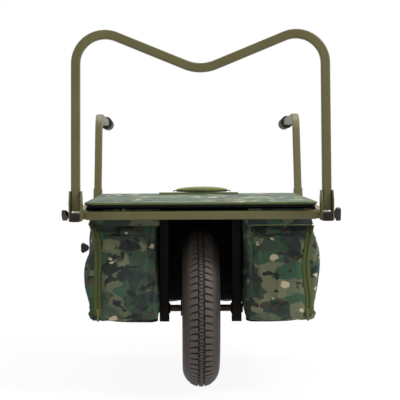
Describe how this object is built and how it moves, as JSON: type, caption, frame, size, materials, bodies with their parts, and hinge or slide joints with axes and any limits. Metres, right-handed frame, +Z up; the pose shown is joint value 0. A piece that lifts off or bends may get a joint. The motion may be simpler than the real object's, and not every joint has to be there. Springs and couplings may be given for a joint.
{
  "type": "game cart",
  "caption": "Single-wheel field cart with a folding front hoop, lift-out push handles, drop legs and padded under-frame bags beneath a hinged lid.",
  "frame": {"origin": "on the floor under the middle of the cart", "axes": "+Z up, -Y towards the wheel and hoop end, +X to the right seen from that end"},
  "size_m": [0.689, 1.2398, 0.8975],
  "materials": {
    "olive_steel": "satin olive powder coat",
    "black_steel": "satin black paint",
    "black_plastic": "moulded, matt",
    "plated_steel": "dull zinc plate",
    "tyre_rubber": "moulded tread",
    "grip_rubber": "moulded, ribbed",
    "camo_fabric": "printed woven polyester",
    "black_fabric": "woven",
    "olive_webbing": "woven webbing"
  },
  "bodies": {
    "chassis": {"side_rail_left": "olive_steel", "side_rail_right": "olive_steel", "rail_end_caps": "black_plastic", "front_bar": "olive_steel", "front_bar_fittings": "olive_steel", "bag_hanger_bar": "olive_steel", "fork_bridge": "olive_steel", "rear_bar": "olive_steel", "hoop_bracket_left": "olive_steel", "hoop_bracket_right": "olive_steel", "hoop_rivets": "olive_steel", "hoop_weld_nuts": "olive_steel", "handle_sleeve_left": "olive_steel", "handle_sleeve_right": "olive_steel", "leg_sleeve_left": "olive_steel", "leg_sleeve_right": "olive_steel", "leg_weld_nuts": "olive_steel", "fork_leg_left": "black_steel", "fork_leg_right": "black_steel", "fork_bosses": "black_steel", "axle": "plated_steel", "axle_nuts": "plated_steel", "axle_spacers": "plated_steel", "bag_pod_left": "camo_fabric", "bag_pod_right": "camo_fabric", "bag_rear": "camo_fabric", "lid_gusset": "black_fabric", "bag_flap_left": "camo_fabric", "bag_flap_right": "camo_fabric"},
    "wheel": {"tyre": "tyre_rubber", "inner_tube": "tyre_rubber", "rim_left": "black_steel", "rim_right": "black_steel", "rim_bolts": "plated_steel", "hub": "black_steel", "wheel_bearings": "plated_steel"},
    "hoop": {"front_hoop": "olive_steel", "hoop_washers": "black_plastic"},
    "lid": {"lid_board_panel": "black_plastic", "lid_pad_cover": "camo_fabric", "carry_strap": "olive_webbing", "carry_grip": "olive_webbing"},
    "hoop_clamp_left": {"hoop_knob_left": "black_plastic", "hoop_stud_left": "plated_steel"},
    "leg_clamp_left": {"leg_knob_left": "black_plastic", "leg_stud_left": "plated_steel"},
    "handle_left": {"handle_left": "olive_steel", "grip_left": "grip_rubber"},
    "leg_left": {"leg_left": "olive_steel", "foot_left": "grip_rubber"},
    "zip_left": {"zip_slider_left": "plated_steel"},
    "hoop_clamp_right": {"hoop_knob_right": "black_plastic", "hoop_stud_right": "plated_steel"},
    "leg_clamp_right": {"leg_knob_right": "black_plastic", "leg_stud_right": "plated_steel"},
    "handle_right": {"handle_right": "olive_steel", "grip_right": "grip_rubber"},
    "leg_right": {"leg_right": "olive_steel", "foot_right": "grip_rubber"},
    "zip_right": {"zip_slider_right": "plated_steel"}
  },
  "joints": [
    {"name": "wheel_spin", "type": "hinge", "parent": "chassis", "child": "wheel", "pos_m": [0, -0.357, 0.199], "axis": [1, 0, 0], "continuous": true},
    {"name": "hoop_fold", "type": "hinge", "parent": "chassis", "child": "hoop", "pos_m": [0, -0.592, 0.481], "axis": [1, 0, 0], "range_deg": [-82, 0]},
    {"name": "lid_open", "type": "hinge", "parent": "chassis", "child": "lid", "pos_m": [0, 0.098, 0.4621], "axis": [-1, 0, 0], "range_deg": [0, 100]},
    {"name": "handle_lift_left", "type": "slide", "parent": "chassis", "child": "handle_left", "axis": [0, 0.2588, 0.9659], "range_m": [0, 0.05]},
    {"name": "leg_drop_left", "type": "slide", "parent": "chassis", "child": "leg_left", "axis": [0, 0, -1], "range_m": [0, 0.12]},
    {"name": "hoop_clamp_turn_left", "type": "hinge", "parent": "chassis", "child": "hoop_clamp_left", "pos_m": [-0.325, -0.592, 0.4545], "axis": [1, 0, 0], "continuous": true},
    {"name": "leg_clamp_turn_left", "type": "hinge", "parent": "chassis", "child": "leg_clamp_left", "pos_m": [-0.33, 0.059, 0.317], "axis": [1, 0, 0], "continuous": true},
    {"name": "zip_pull_left", "type": "slide", "parent": "chassis", "child": "zip_left", "axis": [0, 0, 1], "range_m": [0, 0.17]},
    {"name": "handle_lift_right", "type": "slide", "parent": "chassis", "child": "handle_right", "axis": [0, 0.2588, 0.9659], "range_m": [0, 0.05]},
    {"name": "leg_drop_right", "type": "slide", "parent": "chassis", "child": "leg_right", "axis": [0, 0, -1], "range_m": [0, 0.12]},
    {"name": "hoop_clamp_turn_right", "type": "hinge", "parent": "chassis", "child": "hoop_clamp_right", "pos_m": [0.325, -0.592, 0.4545], "axis": [1, 0, 0], "continuous": true},
    {"name": "leg_clamp_turn_right", "type": "hinge", "parent": "chassis", "child": "leg_clamp_right", "pos_m": [0.33, 0.059, 0.317], "axis": [1, 0, 0], "continuous": true},
    {"name": "zip_pull_right", "type": "slide", "parent": "chassis", "child": "zip_right", "axis": [0, 0, 1], "range_m": [0, 0.17]}
  ]
}
